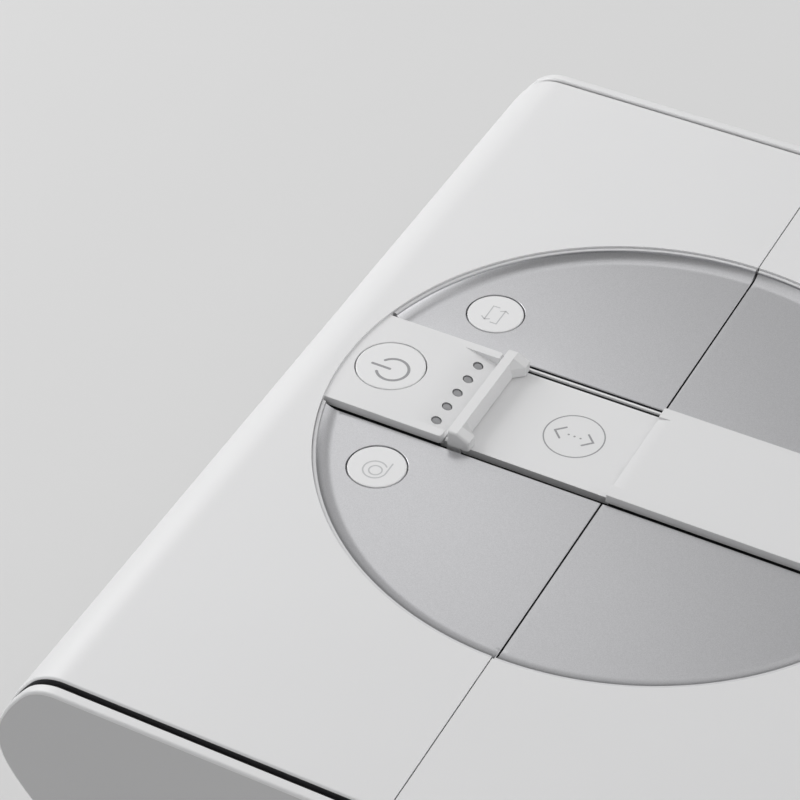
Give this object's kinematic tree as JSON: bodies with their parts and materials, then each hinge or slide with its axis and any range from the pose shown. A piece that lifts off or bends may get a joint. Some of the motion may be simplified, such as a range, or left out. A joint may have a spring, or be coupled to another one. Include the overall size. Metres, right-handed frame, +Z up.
{
  "type": "sous vide circulator",
  "caption": "Flat slab sous vide circulator whose two halves slide apart to bridge a pot; dished control panel with sliding knob on top and a drop-down wet head below.",
  "frame": {"origin": "under the middle of the slab, on the surface that its feet stand on, with the halves closed", "axes": "+X along the control bar from the head to the sleeve, the way the right half slides out; +Y along the seam to the end with the mains inlet; +Z up"},
  "size_m": [0.2268, 0.3046, 0.0591],
  "materials": {
    "white_plastic": "fine matte moulded ABS, almost white",
    "grey_paint": "light grey satin lacquer on a moulded dish",
    "button_white": "smooth matte white caps",
    "lamp_lens": "smoke-grey light pipe",
    "steel": "turned or brushed stainless steel",
    "dark_plastic": "black glass-filled plastic",
    "rubber": "black rubber",
    "circuit_board": "green solder mask on a fibreglass board",
    "brass": "sintered bearing bronze",
    "component": "dark moulded electrical parts"
  },
  "bodies": {
    "left_half": {"left_shell": "white_plastic", "left_base": "white_plastic", "left_near_cap": "white_plastic", "left_far_cap": "white_plastic", "control_head": "white_plastic", "tongue": "white_plastic", "guide_rail": "white_plastic", "left_dish": "grey_paint", "lamp_lens_1": "lamp_lens", "lamp_lens_2": "lamp_lens", "lamp_lens_3": "lamp_lens", "lamp_lens_4": "lamp_lens", "lamp_lens_5": "lamp_lens", "left_near_screw": "steel", "left_far_screw": "steel", "near_guide_rod": "steel", "far_guide_rod": "steel", "near_guide_post": "steel", "far_guide_post": "steel", "slide_resistor": "steel", "left_chassis": "dark_plastic", "mains_inlet": "dark_plastic", "left_near_foot": "rubber", "left_far_foot": "rubber", "mouth_seal": "rubber", "control_board": "circuit_board", "power_board": "circuit_board", "power_switch": "component", "front_mode_switch": "component", "rear_mode_switch": "component", "transformer": "component", "filter_capacitor": "component"},
    "power_button": {"power_button": "button_white"},
    "front_mode_button": {"front_mode_button": "button_white"},
    "rear_mode_button": {"rear_mode_button": "button_white"},
    "slider": {"slider_knob": "white_plastic", "slider_clip": "dark_plastic"},
    "wet_head": {"wet_head_housing": "white_plastic", "intake_grille": "dark_plastic", "pump_plate": "dark_plastic", "pump_motor": "steel", "heater_ring": "steel", "temperature_probe": "steel", "water_level_probe": "steel"},
    "impeller": {"impeller": "dark_plastic", "impeller_shaft": "steel"},
    "right_half": {"right_shell": "white_plastic", "right_base": "white_plastic", "right_chassis": "dark_plastic", "right_dish": "grey_paint", "right_near_cap": "white_plastic", "right_far_cap": "white_plastic", "right_near_screw": "steel", "right_far_screw": "steel", "right_near_foot": "rubber", "right_far_foot": "rubber", "sleeve": "white_plastic", "near_rod_bush": "brass", "far_rod_bush": "brass"}
  },
  "joints": [
    {"name": "power_button_press", "type": "slide", "parent": "left_half", "child": "power_button", "axis": [0, 0, -1], "range_m": [0, 0.0008], "stiffness_N_per_m": 600},
    {"name": "front_mode_button_press", "type": "slide", "parent": "left_half", "child": "front_mode_button", "axis": [0, 0, -1], "range_m": [0, 0.0008], "stiffness_N_per_m": 600},
    {"name": "rear_mode_button_press", "type": "slide", "parent": "left_half", "child": "rear_mode_button", "axis": [0, 0, -1], "range_m": [0, 0.0008], "stiffness_N_per_m": 600},
    {"name": "slider_slide", "type": "slide", "parent": "left_half", "child": "slider", "axis": [1, 0, 0], "range_m": [0, 0.038]},
    {"name": "wet_head_drop", "type": "slide", "parent": "left_half", "child": "wet_head", "axis": [0, 0, -1], "range_m": [0, 0.029]},
    {"name": "impeller_spin", "type": "hinge", "parent": "wet_head", "child": "impeller", "pos_m": [-0.046, 0, 0.012], "axis": [0, 0, 1], "continuous": true},
    {"name": "halves_slide", "type": "slide", "parent": "left_half", "child": "right_half", "axis": [1, 0, 0], "range_m": [0, 0.06]}
  ]
}
